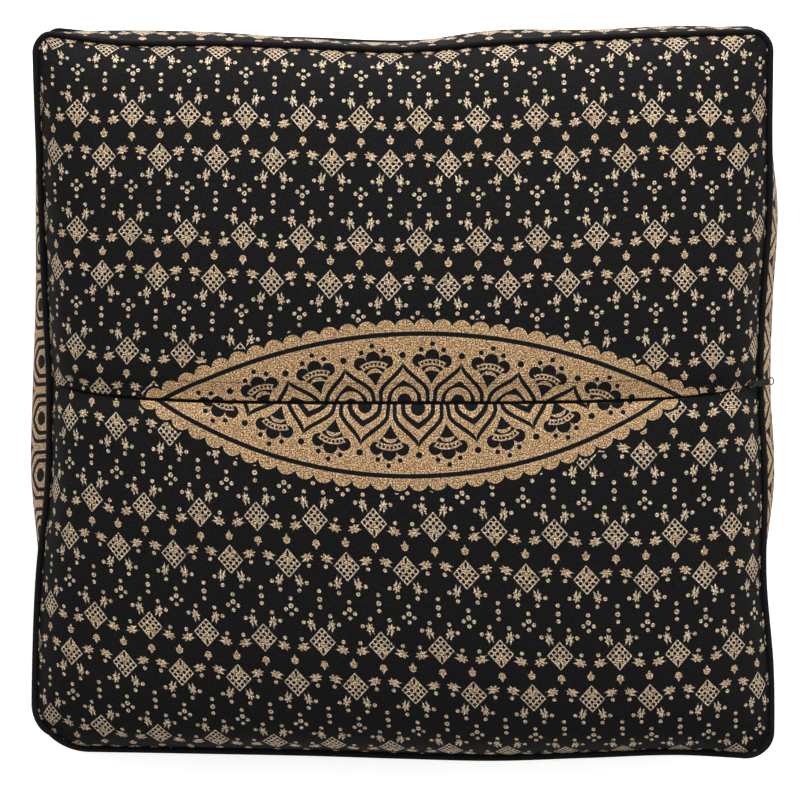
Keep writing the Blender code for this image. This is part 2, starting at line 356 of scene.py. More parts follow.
def base_point(s, t):
    """A point of the base panel: flat where it rests, rising to its seam."""
    share = max(abs(s), abs(t), 1e-9)
    edge_s, edge_t = s / share, t / share
    edge = base_seam(edge_s, edge_t) + inward(edge_s, edge_t, BASE_PULL) * (PIPING_FLANGE + SEAM_GAP)
    lift = max(0.0, (share - FLAT_SHARE) / (1 - FLAT_SHARE)) ** 1.6
    plan = PLAN_CENTRE + (edge - PLAN_CENTRE) * share
    return Vector((plan.x, plan.y, edge.z * lift))


def band_point(s, t, level):
    """A point of the box band: level runs from 0 at the face seam to 1 at the base seam."""
    side, along = side_at(s, t)
    out = -inward(s, t)
    bulge = read_stations(SIDES[side]["bulge"], along) * math.sin(math.pi * level)
    return face_point(s, t).lerp(base_point(s, t), level) + out * bulge


def crowded(count):
    """Even steps from 0 to 1, drawn together towards 1."""
    steps = [k / count for k in range(count + 1)]
    return [0.45 * v + 0.55 * math.sin(math.pi / 2 * v) for v in steps]


def both_ways(half):
    """Steps from 0 to 1, mirrored so that they run from -1."""
    return [-v for v in reversed(half[1:])] + half


def lengths(points):
    """Distance along a row of points from its first one."""
    total = [0.0]
    for a, b in zip(points, points[1:]):
        total.append(total[-1] + (b - a).length)
    return total


def seam_tuck(s, t):
    """Step from a face panel's edge on into the cord of its seam."""
    share = max(abs(s), abs(t))
    return -inward(s / share, t / share) * TUCK - Vector((0, 0, TUCK_SINK))


def flat_cloth(rows):
    """Places of a panel's points on the flat cloth: along each row from its middle, up each column."""
    middle = len(rows[0]) // 2
    upward = zip(*(lengths(column) for column in zip(*rows)))
    flat = []
    for row, heights in zip(rows, upward):
        across = lengths(row)
        flat.append([(place - across[middle], height) for place, height in zip(across, heights)])
    return flat


def gathers(along, from_edge, height):
    """Small folds square to a seam, dying out away from it."""
    wave = noise.noise(Vector((along / (17 * MM), from_edge / (70 * MM), 3.1)))
    wave += 0.6 * noise.noise(Vector((along / (7 * MM), from_edge / (60 * MM), 8.4)))
    return height * wave * math.exp(-from_edge / (26 * MM))


def face_ripple(s, t, height):
    """How far the cloth stands off the smooth face."""
    x, y = HALF_X * s, HALF_Y * t
    edge_x, edge_y = HALF_X * (1 - abs(s)), HALF_Y * (1 - abs(t))
    broad = noise.noise(Vector((x / BROAD_FOLD[0], y / BROAD_FOLD[1], 1.7)))
    broad += 0.5 * noise.noise(Vector((x / SMALL_FOLD[0], y / SMALL_FOLD[1], 6.2)))
    inside = min(1.0, edge_x / FOLD_FADE) * min(1.0, edge_y / FOLD_FADE)
    off = 1.5 * height * broad * inside
    pinned = min(1.0, min(edge_x, edge_y) / (5 * MM))
    off += pinned * (gathers(y, edge_x, height) + gathers(x + 5, edge_y, height))
    off -= VALLEY_DEPTH * math.exp(-((y / VALLEY_WIDTH) ** 2)) * (1 - s**4) ** 2
    return off + pinned * LIP_GATHERS * gathers(x + 9, abs(y), height)


def picked(count):
    """Every second place in a row, and the last."""
    return sorted({*range(0, count, 2), count - 1})


def normals_of(grid):
    """Unit normals of a grid of points."""
    run, rise = np.gradient(grid, axis=1), np.gradient(grid, axis=0)
    normal = np.cross(run, rise)
    return normal / np.maximum(np.linalg.norm(normal, axis=2, keepdims=True), 1e-12)


def settled(grid, pinned, swell):
    """How far each point of a grid moves along its normal when the cloth, cut a little large, is filled."""
    keep_j, keep_k = picked(grid.shape[0]), picked(grid.shape[1])
    coarse = grid[np.ix_(keep_j, keep_k)]
    high, wide = coarse.shape[:2]
    faces = []
    for j in range(high - 1):
        for k in range(wide - 1):
            a = j * wide + k
            faces.append((a, a + 1, a + wide + 1, a + wide))
    mesh = bpy.data.meshes.new("filled_cloth")
    mesh.from_pydata([tuple(p) for p in coarse.reshape(-1, 3)], [], faces)
    sheet = bpy.data.objects.new("filled_cloth", mesh)
    bpy.context.collection.objects.link(sheet)
    pins = sheet.vertex_groups.new(name="sewn")
    sewn_rows = {j for j in range(high) if keep_j[j] in pinned or j == high - 1}
    held = [j * wide + k for j in range(high) for k in range(wide) if j in sewn_rows or k in (0, wide - 1)]
    pins.add(held, 1.0, "REPLACE")
    cloth = sheet.modifiers.new("cloth", "CLOTH")
    cloth.settings.vertex_group_mass = "sewn"
    cloth.settings.effector_weights.gravity = 0.0
    cloth.settings.use_pressure = True
    cloth.settings.uniform_pressure_force = PRESSURE
    cloth.settings.shrink_min = -swell
    cloth.settings.bending_stiffness = 0.6
    cloth.settings.quality = 6
    cloth.point_cache.frame_end = SETTLE_FRAMES
    for step in range(1, SETTLE_FRAMES + 1):
        bpy.context.scene.frame_set(step)
    shaped = sheet.evaluated_get(bpy.context.evaluated_depsgraph_get())
    moved = np.empty(high * wide * 3)
    shaped.data.vertices.foreach_get("co", moved)
    moved = moved.reshape(high, wide, 3) - coarse
    height = np.sum(moved * normals_of(coarse), axis=2)
    bpy.data.objects.remove(sheet, do_unlink=True)
    bpy.context.scene.frame_set(1)
    height = np.clip(height - smoothed(height), -SETTLE_CAP, SETTLE_CAP)
    height = np.array([np.interp(range(grid.shape[1]), keep_k, line) for line in height])
    return np.array([np.interp(range(grid.shape[0]), keep_j, line) for line in height.T]).T


def smoothed(values):
    """The broad swell of a grid of heights, without its folds."""
    for _ in range(60):
        padded = np.pad(values, 1, mode="edge")
        values = (padded[:-2, 1:-1] + padded[2:, 1:-1] + padded[1:-1, :-2] + padded[1:-1, 2:]) / 4
    return values


def rippled(rows, places, look, pinned, side):
    """The same rows with each point moved along the face's normal: folds of the filled cloth and gathers."""
    grid = np.array([[tuple(point) for point in row] for row in rows])
    height = np.array([[face_ripple(s, t, look.ripple) for s, t in line] for line in places])
    height = height + settled(grid[:, ::side], pinned, look.slack)[:, ::side]
    normal = normals_of(grid)
    normal[: len(pinned)] = normal[len(pinned)]
    moved = grid + side * normal * height[:, :, None]
    return [[Vector(point) for point in row] for row in moved]


def cloth_mesh(name, strips, look):
    """One piece from strips: rows of points, their places on the flat cloth, a mark for all or each row."""
    points, faces, corners, marks = [], [], [], []
    for rows, flat, mark in strips:
        start, width = len(points), len(rows[0])
        for row in rows:
            points.extend(row)
        for j in range(len(rows)):
            marks.extend([mark if isinstance(mark, float) else mark[j]] * width)
        for j in range(len(rows) - 1):
            for k in range(width - 1):
                a = start + j * width + k
                faces.append((a, a + 1, a + width + 1, a + width))
                corners.extend((flat[j][k], flat[j][k + 1], flat[j + 1][k + 1], flat[j + 1][k]))
    mesh = bpy.data.meshes.new(name)
    mesh.from_pydata(points, [], faces)
    layer = mesh.uv_layers.new(name="flat_cloth")
    layer.data.foreach_set("uv", [v for corner in corners for v in corner])
    mesh.attributes.new("mark", "FLOAT", "POINT").data.foreach_set("value", marks)
    mesh.shade_smooth()
    piece = bpy.data.objects.new(name, mesh)
    bpy.context.collection.objects.link(piece)
    mesh.materials.append(look)
    return piece


def declare(piece, node):
    """Attach a piece to the root body and hide the solid that it stands for."""
    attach(piece, "root")
    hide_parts(node)


class Number:
    """A value in a node tree; arithmetic on it adds math nodes."""

    def __init__(self, nodes, socket):
        self.nodes = nodes
        self.socket = socket

    def __add__(self, other):
        return self.nodes.math("ADD", self, other)

    def __radd__(self, other):
        return self.nodes.math("ADD", other, self)

    def __sub__(self, other):
        return self.nodes.math("SUBTRACT", self, other)

    def __rsub__(self, other):
        return self.nodes.math("SUBTRACT", other, self)

    def __mul__(self, other):
        return self.nodes.math("MULTIPLY", self, other)

    def __rmul__(self, other):
        return self.nodes.math("MULTIPLY", other, self)

    def __truediv__(self, other):
        return self.nodes.math("DIVIDE", self, other)

    def __neg__(self):
        return self.nodes.math("MULTIPLY", self, -1.0)

    def __abs__(self):
        return self.nodes.math("ABSOLUTE", self)

    def __pow__(self, other):
        return self.nodes.math("POWER", self, other)


class Nodes:
    """Adds nodes to one tree, with links and constants set on their sockets."""

    def __init__(self, tree):
        self.tree = tree

    def add(self, kind, inputs=(), **settings):
        node = self.tree.nodes.new(kind)
        for key, value in settings.items():
            setattr(node, key, value)
        for key, value in dict(inputs).items():
            socket = node.inputs[key]
            if isinstance(value, Number):
                self.tree.links.new(value.socket, socket)
            else:
                socket.default_value = value
        return node

    def out(self, node, name=0):
        return Number(self, node.outputs[name])

    def math(self, operation, *values):
        return self.out(self.add("ShaderNodeMath", enumerate(values), operation=operation))

    def least(self, first, *others):
        for other in others:
            first = self.math("MINIMUM", first, other)
        return first

    def most(self, first, *others):
        for other in others:
            first = self.math("MAXIMUM", first, other)
        return first

    def length(self, x, y):
        return self.math("SQRT", x * x + y * y)

    def disc(self, x, y, centre, radius):
        """Signed distance to a disc, below zero inside it."""
        return self.length(x - centre[0], y - centre[1]) - radius

    def oval(self, x, y, centre, half):
        """Roughly the signed distance to an ellipse."""
        return (self.length((x - centre[0]) / half[0], (y - centre[1]) / half[1]) - 1.0) * min(half)

    def ramp(self, value, low, high):
        """0 at low, 1 at high and level beyond them."""
        inputs = {"Value": value, "From Min": low, "From Max": high}
        return self.out(self.add("ShaderNodeMapRange", inputs, clamp=True), "Result")

    def blend(self, share, first, second):
        """A colour from first to second; each is a colour or a socket with one."""
        node = self.add("ShaderNodeMix", {"Factor": share}, data_type="RGBA")
        for key, value in (("A", first), ("B", second)):
            socket = next(item for item in node.inputs if item.name == key and item.type == "RGBA")
            if isinstance(value, Number):
                self.tree.links.new(value.socket, socket)
            else:
                socket.default_value = value
        return Number(self, next(item for item in node.outputs if item.type == "RGBA"))

    def threads(self, x, y):
        """Noise drawn out along the threads; x and y are already stretched places."""
        place = self.add("ShaderNodeCombineXYZ", {"X": x, "Y": y})
        inputs = {"Vector": self.out(place), "Scale": THREAD_SCALE, "Detail": 1.0}
        return self.out(self.add("ShaderNodeTexNoise", inputs))

    def pick(self, test, yes, no):
        """yes where test is 1, no where it is 0."""
        return no + (yes - no) * test

    def less(self, a, b):
        return self.math("LESS_THAN", a, b)

    def repeat(self, value, step):
        """Distance from the nearest multiple of step, from minus half of it to plus half."""
        return (self.math("FRACT", value / step + 0.5) - 0.5) * step

    def wedge(self, x, y, tip, foot, width):
        """A thin triangle from a foot of this half width to its tip."""
        run = Vector((tip[0] - foot[0], tip[1] - foot[1]))
        long, c, d = run.length, *(run / run.length)
        along = (x - foot[0]) * c + (y - foot[1]) * d
        across = abs((y - foot[1]) * c - (x - foot[0]) * d)
        return self.most(across - (long - along) * (width / long), -1.0 * along) * 0.9

    def star(self, x, y, centre, lean, half, spikes, depth):
        """A spiked leaf: an ellipse whose edge runs in and out of so many points."""
        c, d = math.cos(lean), math.sin(lean)
        dx, dy = x - centre[0], y - centre[1]
        a, b = (dx * c + dy * d) / half[0], (dy * c - dx * d) / half[1]
        turn = self.math("ARCTAN2", b, a) * (spikes / math.tau)
        wave = abs(self.math("FRACT", turn + 0.5) - 0.5) * 2.0
        edge = 1.0 - depth * wave
        return (self.length(a, b) - edge) * min(half)


def group_tree(name, inputs):
    """An empty node group with number inputs and one number output."""
    tree = bpy.data.node_groups.new(name, "ShaderNodeTree")
    for item in inputs:
        tree.interface.new_socket(item, in_out="INPUT", socket_type="NodeSocketFloat")
    tree.interface.new_socket("Distance", in_out="OUTPUT", socket_type="NodeSocketFloat")
    nodes = Nodes(tree)
    entry = nodes.add("NodeGroupInput")
    return tree, nodes, [nodes.out(entry, item) for item in inputs]


def group_out(nodes, value):
    """End a group with its distance."""
    nodes.add("NodeGroupOutput", {"Distance": value})


def lozenge(n, x, y):
    """A lozenge with a lattice of holes, and a slot at its lower point."""
    half_x, half_y = LOZENGE
    a, b = x / half_x + y / half_y, x / half_x - y / half_y
    outer = (n.most(abs(a), abs(b)) - 1.0) * (12 * MM)
    hole_a, hole_b = (n.repeat(place - LATTICE_STEP / 2, LATTICE_STEP) for place in (a, b))
    hole = n.length((hole_a + hole_b) * (half_x / 2), (hole_a - hole_b) * (half_y / 2)) - 1.85 * MM
    upper = n.less(-0.158 * half_y, y)
    outer_pair = n.less(-0.41 * half_y, y) * n.less(0.25 * half_x, x)
    hole = n.pick(n.most(upper, outer_pair), hole, 5 * MM)
    slot = n.oval(x, y, (0, -11.2 * MM), (1.35 * MM, 3.3 * MM))
    vein = n.oval(x, y, (2.9 * MM, -6.2 * MM), (1.3 * MM, 0.55 * MM))
    return n.most(outer, -hole, -slot, -vein)


def sprig(n, x, y, centre, lean, half, split):
    """A jagged leaf on two prongs that point back to the lozenge."""
    c, d = math.cos(lean), math.sin(lean)
    dx, dy = x - centre[0], y - centre[1]
    along, across = dx * c + dy * d, dy * c - dx * d
    reach, width = half
    leaf = n.star(along, across, (0.1 * reach, 0), 0.0, (0.9 * reach, 1.05 * width), 7, 0.5)
    leaf = n.least(leaf, n.oval(along, across, (0, 0), (0.62 * reach, 0.5 * width)))
    slit = n.oval(along, across, (-0.85 * reach, 0), (split * reach, 0.2 * width))
    tip, foot = (-1.05 * reach, 0.56 * width), (0.1 * reach, 0.42 * width)
    prong = n.wedge(along, abs(across), tip, foot, 0.34 * width)
    return n.least(n.most(leaf, -slit), prong)


def field_group():
    """The lozenge-and-sprig repeat: signed distance to its gold, from a place on the flat cloth."""
    tree, n, (u, v) = group_tree("field_repeat", ("U", "V"))
    x = abs(n.repeat(u, PITCH))
    px = FIELD_PX
    down = n.repeat(-1.0 * v - 40.3 * px, REPEAT) + 40.3 * px
    is_next = n.less(65.5 * px + 1.12 * x, down)
    second = n.less(30 * px - 0.58 * x, down) - is_next
    row_x = n.pick(second, PITCH / 2 - x, x)
    row_y = n.pick(second, down - ROW_STEP, is_next * REPEAT - down)
    bud = n.least(
        n.disc(row_x, row_y, (0, -26.6 * MM), 4.1 * MM),
        n.wedge(row_x, row_y, (0, -34.8 * MM), (0, -27.5 * MM), 3.4 * MM),
        n.wedge(row_x, row_y, (5.3 * MM, -29.6 * MM), (1.2 * MM, -26.8 * MM), 2.2 * MM),
    )
    gold = n.least(
        lozenge(n, row_x, row_y),
        sprig(n, row_x, row_y, (11.6 * MM, 18.9 * MM), 1.3, (8.6 * MM, 4.9 * MM), 0.75),
        sprig(n, row_x, row_y, (22.4 * MM, -7.8 * MM), -0.34, (8.8 * MM, 5.3 * MM), 0.45),
        bud,
    )
    spots = [
        n.disc(row_x, row_y, (11.2 * MM, 30.8 * MM), DOT),
        n.disc(row_x, row_y, (20.5 * MM, 21.6 * MM), DOT),
        n.disc(row_x, row_y, (24.5 * MM, 1.4 * MM), DOT),
        n.disc(row_x, row_y, (0, 40.7 * MM), DOT),
        n.disc(row_x, row_y, (0, 49.4 * MM), DOT * 1.2),
        n.disc(row_x, row_y, (0, 59.2 * MM), DOT),
        n.disc(row_x, row_y, (6.0 * MM, 53.6 * MM), DOT) + second * (20 * MM),
    ]
    dots = n.least(*spots)
    dots = n.most(dots, -1.0 * (dots + DOT - 0.12 * MM))
    group_out(n, n.least(gold, dots))
    return tree


def petal_edge(n, depth, start, reach, width, power):
    """Half width of an ogee at a depth below its point."""
    share = n.math("MINIMUM", n.math("MAXIMUM", (depth - start) / reach, 0.0001), 1.0)
    return n.math("SINE", share**power * (math.pi / 2)) * width


def border_group():
    """A mandala's border: scallops, a ring line, fans and petals. Signed distance to its gold."""
    px = BORDER_PX
    names = ("Along", "Depth", "Pitch", "Scallop", "Point")
    tree, n, (along, depth, pitch, scallop_x, point) = group_tree("border_segment", names)
    across = abs(n.math("FRACT", along) - 0.5) * pitch
    from_petal = abs(pitch * 0.5 - across)
    scallop = n.disc(scallop_x, depth, (0, -5.0 * px), 9.85 * px)
    outside = n.most(n.least(scallop, -1.0 * depth - 0.1 * px), depth + 2.45 * px)
    tip = depth - 31.0 * px
    line = from_petal - petal_edge(n, tip, -3.5 * px, 33 * px, 25.6 * px, 1.4)
    within = from_petal - petal_edge(n, tip, 3.0 * px, 28 * px, 21.4 * px, 1.4)
    line = n.most(line, -1.0 * within, -1.0 * tip - 3.5 * px)
    arch = from_petal - petal_edge(n, tip, 15.6 * px, 19.8 * px, 17.2 * px, 1.05)
    arch = n.most(arch, 15.6 * px - tip)
    inner = from_petal - petal_edge(n, tip, 23.4 * px, 14.5 * px, 12.7 * px, point)
    inner = n.most(inner, 23.4 * px - tip, tip - 54 * px)
    core = n.oval(from_petal, tip, (0, 38.6 * px), (7.3 * px, 8.0 * px))
    petal = n.least(line, n.most(arch, -1.0 * inner), core)
    up = 52.3 * px - depth
    fan = n.most(across - (up * 0.42 + up * up * (0.0133 / px)), up - 25.5 * px)
    middle_lobe = n.disc(across, up, (0, 29.6 * px), 7.3 * px)
    side_lobe = n.disc(across, up, (13.2 * px, 25.2 * px), 6.7 * px)
    fan = n.most(n.least(fan, middle_lobe, side_lobe), -1.0 * up)
    crescent = n.most(n.disc(across, up, (0, 10.6 * px), 8.5 * px), 15.3 * px - n.length(across, up))
    ring = n.length(across, up)
    arc = n.most(abs(ring - 23.8 * px) - 3.0 * px, across - up * 0.62)
    bead_turn = n.math("ARCTAN2", across, up)
    bead = n.disc(n.repeat(bead_turn - 0.084, 0.168) * 24 * px, ring, (0, 24 * px), 1.5 * px)
    arc = n.most(arc, n.most(-1.0 * bead, (bead_turn - 0.5) * (-20 * px) - 100.0))
    fan = n.most(fan, -1.0 * crescent, -1.0 * arc)
    spots = n.least(
        n.disc(across, up, (0, 42.2 * px), 2.6 * px),
        n.disc(across, up, (11.2 * px, 36.4 * px), 2.6 * px),
        n.disc(from_petal, tip, (0, -9.7 * px), 3.4 * px),
    )
    dark = n.least(petal, fan, spots)
    inside = n.most(-1.0 * dark, 2.45 * px - depth)
    group_out(n, n.least(outside, inside))
    return tree


# Where each half's cloth was cut. Columns and rows count repeats of the field from a place (u, v) on
# the half, in shares of 0.4 m: 1, u, v, uu, uv, vv, uuu, uuv. The border is a circle.
SHARE = 0.4
CUTS = {
    "upper": {
        "columns": (5.802, 5.700, -0.220, -0.122, 0.209, 0.149, 0.070, 0.077),
        "rows": (-2.401, -0.025, 2.736, 0.050, -0.044, 0.057, 0.076, 0.074),
        "wave": (0.0536, 3.5, -0.443),
        "centre": (22.5 * MM, -515.9 * MM),
        "turn": 1.0,
        "radius": 603.6 * MM,
        "petal": (0.1205, -0.0400),
        "scallop": (0.03633, 0.00259),
        "point": 0.5,
    },
    "lower": {
        "columns": (6.083, 5.683, 0.193, -0.270, -0.048, -0.143, 0.083, -0.230),
        "rows": (-0.368, -0.145, -2.608, -0.035, 0.057, 0.077, 0.027, -0.137),
        "wave": (0.0058, 5.9, 0.51),
        "centre": (8.6 * MM, 459.3 * MM),
        "turn": -1.0,
        "radius": 552.7 * MM,
        "petal": (0.1325, 0.0192),
        "scallop": (0.04011, 0.01766),
        "point": 0.95,
    },
}
BAND_RING = 107 * MM
EAST_SHARE = 0.75
BAND_PHASE = 25 * MM


def call_group(n, name, **inputs):
    """A group's distance, from the numbers at its inputs."""
    group = n.add("ShaderNodeGroup", node_tree=bpy.data.node_groups[name])
    for key, value in inputs.items():
        if isinstance(value, Number):
            n.tree.links.new(value.socket, group.inputs[key])
        else:
            group.inputs[key].default_value = value
    return n.out(group)


def repeats(n, u, v, terms, wave=None):
    """Repeats of the field counted up to a place on the cloth, with a wave along the rows if there is one."""
    a, b = u / SHARE, v / SHARE
    if wave:
        return repeats(n, u, v, terms) + n.math("COSINE", a * wave[1] + wave[2]) * wave[0]
    aa = a * a
    total = terms[0] + a * terms[1] + b * terms[2] + aa * terms[3]
    return total + a * b * terms[4] + b * b * terms[5] + aa * a * terms[6] + aa * b * terms[7]


def bordered(n, field, along, depth, pitch, scallop_x, point):
    """The border over the field, with bare cloth round its scallops."""
    places = {"Along": along, "Depth": depth, "Pitch": pitch, "Scallop": scallop_x}
    border = call_group(n, "border_segment", **places, Point=point)
    margin = n.least(n.disc(scallop_x, depth, (0, -5.85 * MM), 11.5 * MM), -5.8 * MM - depth)
    field = field + FIELD_TRIM
    return n.least(border, n.most(field, 3.4 * MM - margin)), n.less(margin, 2 * MM)


def half_print(n, u, v, cut):
    """Signed distance to the gold of one half of the face."""
    field_u = repeats(n, u, v, cut["columns"]) * PITCH
    field_v = repeats(n, u, v, cut["rows"], cut["wave"]) * REPEAT
    field = call_group(n, "field_repeat", U=field_u, V=field_v)
    dx, dy = u - cut["centre"][0], (v - cut["centre"][1]) * cut["turn"]
    ring = n.length(dx, dy)
    angle = n.math("ARCTAN2", dx, dy)
    depth = cut["radius"] - ring
    petal, scallop = cut["petal"], cut["scallop"]
    along = (angle - petal[1]) / petal[0]
    scallop_x = n.repeat(angle - scallop[1], scallop[0]) * ring
    return bordered(n, field, along, depth, ring * petal[0], scallop_x, cut["point"])


def band_print(n, u, v, border_side):
    """The field along two sides and the border, run straight, along the two others."""
    field = call_group(n, "field_repeat", U=u, V=v)
    scallop_x = n.repeat(u, SCALLOP_PITCH)
    along = (u + BAND_PHASE) / PITCH
    straight, in_border = bordered(n, field, along, v + border_side * BAND_RING, PITCH, scallop_x, BAND_POINT)
    has_border = n.less(0.1, border_side)
    return n.pick(has_border, straight, field), in_border * has_border


def spread(colour, low, high):
    """A darker and a lighter tone of a colour."""
    return tuple(tuple(c * share for c in colour[:3]) + (1.0,) for share in (low, high))


def shades(n, share, colour, low, high):
    """A colour between its darker and its lighter tone."""
    return n.blend(share, *spread(colour, low, high))


def empty_material(name):
    """A material without nodes, and what adds them."""
    made = bpy.data.materials.new(name)
    made.use_nodes = True
    made.node_tree.nodes.clear()
    return made, Nodes(made.node_tree)


def cloth_place(n):
    """A place on a piece's flat-cloth map, whole and as its two parts."""
    flat = n.out(n.add("ShaderNodeUVMap", uv_map="flat_cloth"))
    parts = n.add("ShaderNodeSeparateXYZ", {0: flat})
    return flat, n.out(parts, "X"), n.out(parts, "Y")


def emboss(n, shader, height, strength, depth):
    """Give a shader the relief of its weave."""
    bump = n.add("ShaderNodeBump", {"Strength": strength, "Distance": depth, "Height": height})
    n.tree.links.new(bump.outputs["Normal"], shader.inputs["Normal"])


def show(n, shader):
    """Link a shader to its material's surface."""
    result = n.add("ShaderNodeOutputMaterial")
    n.tree.links.new(shader.outputs["BSDF"], result.inputs["Surface"])


def printed_cotton(name, cut=None):
    """Black cotton with the gold print, from the piece's own flat-cloth map."""
    look = look_props()
    made, n = empty_material(name)
    flat, u, v = cloth_place(n)
    mark = n.out(n.add("ShaderNodeAttribute", attribute_name="mark"), "Fac")
    distance, in_border = half_print(n, u, v, cut) if cut else band_print(n, u, v, mark)
    gold = n.ramp(distance, 0.3 * MM, -0.3 * MM)
    thread = 0.0
    if cut:
        gold = gold * (1.0 - mark)
        if cut["turn"] > 0:
            on_line = n.less(abs(v - STITCH_LINE), 0.5 * MM)
            thread = on_line * n.less(abs(n.repeat(u, STITCH)), 0.36 * STITCH)
            gold = gold * (1.0 - thread)
    fine = {"Vector": flat, "Scale": GRAIN_SCALE, "Detail": 1.0, "Roughness": 0.6}
    grain = n.add("ShaderNodeTexNoise", fine)
    warp = n.threads(u * 0.22, v * 1.6)
    weft = n.threads(u * 1.6, v * 0.22)
    grains = n.out(grain) * 0.7 + warp * 0.15 + weft * 0.15
    speckle = n.ramp(grains, 0.42, 0.58)
    # Painted highlight: a pale sparkle painted on the brightest grains of the gold ink
    painted_glint = n.ramp(grains, 0.57, 0.63) * 0.5
    patch = n.out(n.add("ShaderNodeTexNoise", {"Vector": flat, "Scale": 14.0, "Detail": 2.0}))
    rim = n.ramp(distance, -1.05 * MM, -0.15 * MM) * (1.0 - in_border * 0.6)
    ink = n.blend(rim, shades(n, speckle, look.ink, 0.08, 1.94), shades(n, speckle, look.rim, 0.2, 1.85))
    ink = n.blend(n.ramp(patch, 0.3, 0.7) * 0.22, ink, hex_colour(PATCH_TONE))
    # Paint the pale sparkle highlight onto the ink
    ink = n.blend(painted_glint, ink, hex_colour(PAINTED_GLINT_TONE))
    colour = n.blend(gold, shades(n, speckle, look.cloth, 0.2, 1.7), ink)
    shader = n.add(
        "ShaderNodeBsdfPrincipled",
        {"Base Color": colour, "Roughness": 0.85 - gold * 0.2, "Specular IOR Level": 0.08 + gold * 0.2},
    )
    weave = n.math("SINE", u * (math.tau / WEAVE)) * n.math("SINE", v * (math.tau / WEAVE))
    groove = n.ramp(abs(v - STITCH_LINE), 0.0, 2.2 * MM) if cut and cut["turn"] > 0 else 1.0
    relief = weave + groove * 6.0 + thread * 4.0
    emboss(n, shader, relief, 0.25, 0.12 * MM)
    show(n, shader)
    return made


def bias_cloth(name):
    """Plain black bias cloth with its diagonal weave."""
    made, n = empty_material(name)
    flat, u, v = cloth_place(n)
    twill = n.math("SINE", (u + v) * (math.tau / TWILL))
    mottle = n.add("ShaderNodeTexNoise", {"Vector": flat, "Scale": 60.0, "Detail": 3.0})
    colour = shades(n, n.out(mottle), look_props().piping, 0.6, 1.5)
    finish = {"Base Color": colour, "Roughness": 0.9, "Specular IOR Level": 0.12}
    shader = n.add("ShaderNodeBsdfPrincipled", finish)
    emboss(n, shader, twill, 0.3, 0.15 * MM)
    show(n, shader)
    return made


def dark_metal(name):
    """Black lacquered zip metal, a little lighter in random flecks."""
    made, n = empty_material(name)
    place = n.add("ShaderNodeTexCoord")
    worn = n.add("ShaderNodeTexNoise", {"Vector": n.out(place, "Object"), "Scale": 900.0, "Detail": 2.0})
    colour = n.blend(n.out(worn), hex_colour("#030303"), hex_colour("#0c0c0d"))
    finish = {"Base Color": colour, "Metallic": 0.0, "Roughness": 0.5, "Specular IOR Level": 0.2}
    shader = n.add("ShaderNodeBsdfPrincipled", finish)
    show(n, shader)
    return made


class CUSHION_OT_face(bpy.types.Operator):
    """Build the upper and lower halves of the face, with the zip's folded lip"""

    bl_idname = "cushion.face"
    bl_label = "Face halves"

    def execute(self, context):
        look = context.scene.cushion_look
        field_group()
        border_group()
        along = both_ways(crowded(110))
        steps = [v for v in crowded(110) if v * HALF_Y > LIP_REACH]

        def across(offset, s):
            fade = min(1.0, (1 - abs(s)) / LIP_FADE)
            return offset[0] * MM * fade / HALF_Y, offset[1] * MM * fade

        halves = {"upper": (LIP_SECTION, steps), "lower": (LOWER_SECTION[::-1], [-v for v in steps])}
        for half, (section, rest) in halves.items():
            places = [[(s, across(offset, s)[0]) for s in along] for offset in section]
            lifts = [[across(offset, s)[1] for s in along] for offset in section]
            places += [[(s, t) for s in along] for t in rest]
            lifts += [[0.0] * len(along) for t in rest]
            rows = [
                [face_point(*place) + Vector((0, 0, lift)) for place, lift in zip(*pair)]
                for pair in zip(places, lifts)
            ]
            flat = flat_cloth(rows)
            if half == "lower":
                flat = [[(u, -v) for u, v in line] for line in flat]
            rows = rippled(rows, places, look, range(len(section)), 1 if half == "upper" else -1)
            places_t = [line[0][1] for line in places]
            if half == "lower":
                rows, flat, places_t = rows[::-1], flat[::-1], places_t[::-1]
            outer = 0 if half == "lower" else -1
            edge_t = -1.0 if half == "lower" else 1.0
            seam = [point + seam_tuck(s, edge_t) for s, point in zip(along, rows[outer])]
            rows.insert(0 if half == "lower" else len(rows), seam)
            flat.insert(0 if half == "lower" else len(flat), flat[outer])
            for j, row in enumerate(rows):
                t = places_t[min(max(j - (half == "lower"), 0), len(places_t) - 1)]
                rows[j] = [row[0] + seam_tuck(-1.0, t), *row, row[-1] + seam_tuck(1.0, t)]
                flat[j] = [flat[j][0], *flat[j], flat[j][-1]]
            tape = [1.0 if half == "lower" and len(rows) - j <= TAPE_ROWS else 0.0 for j in range(len(rows))]
            cotton = printed_cotton(half + "_cotton", CUTS[half])
            piece = cloth_mesh(half + "_half", [(rows, flat, tape)], cotton)
            declare(piece, "cushion_body")
        return {"FINISHED"}


class CUSHION_OT_band(bpy.types.Operator):
    """Build the box band round the four sides and the base panel"""

    bl_idname = "cushion.band"
    bl_label = "Box band and base"

    def execute(self, context):
        levels = [k / 28 for k in range(29)]
        along = both_ways(crowded(100))
        ends = {
            "south": lambda v: (v, -1.0),
            "east": lambda v: (1.0, v),
            "north": lambda v: (-v, 1.0),
            "west": lambda v: (-1.0, -v),
        }
        strips = []
        for side, at in ends.items():
            rows = [[band_point(*at(v), level) for v in along] for level in levels]
            flat = [[(u, -v) for u, v in line] for line in flat_cloth(rows)]
            strips.append((rows[::-1], flat[::-1], {"west": 1.0, "east": EAST_SHARE}.get(side, 0.0)))
        cotton = printed_cotton("band_cotton")
        band = cloth_mesh("box_band", strips, cotton)
        declare(band, "cushion_body")
        coarse = both_ways(crowded(30))
        rows = [[base_point(s, t) for s in coarse] for t in reversed(coarse)]
        base = cloth_mesh("base_panel", [(rows, flat_cloth(rows), 0.0)], cotton)
        declare(base, "cushion_body")
        return {"FINISHED"}


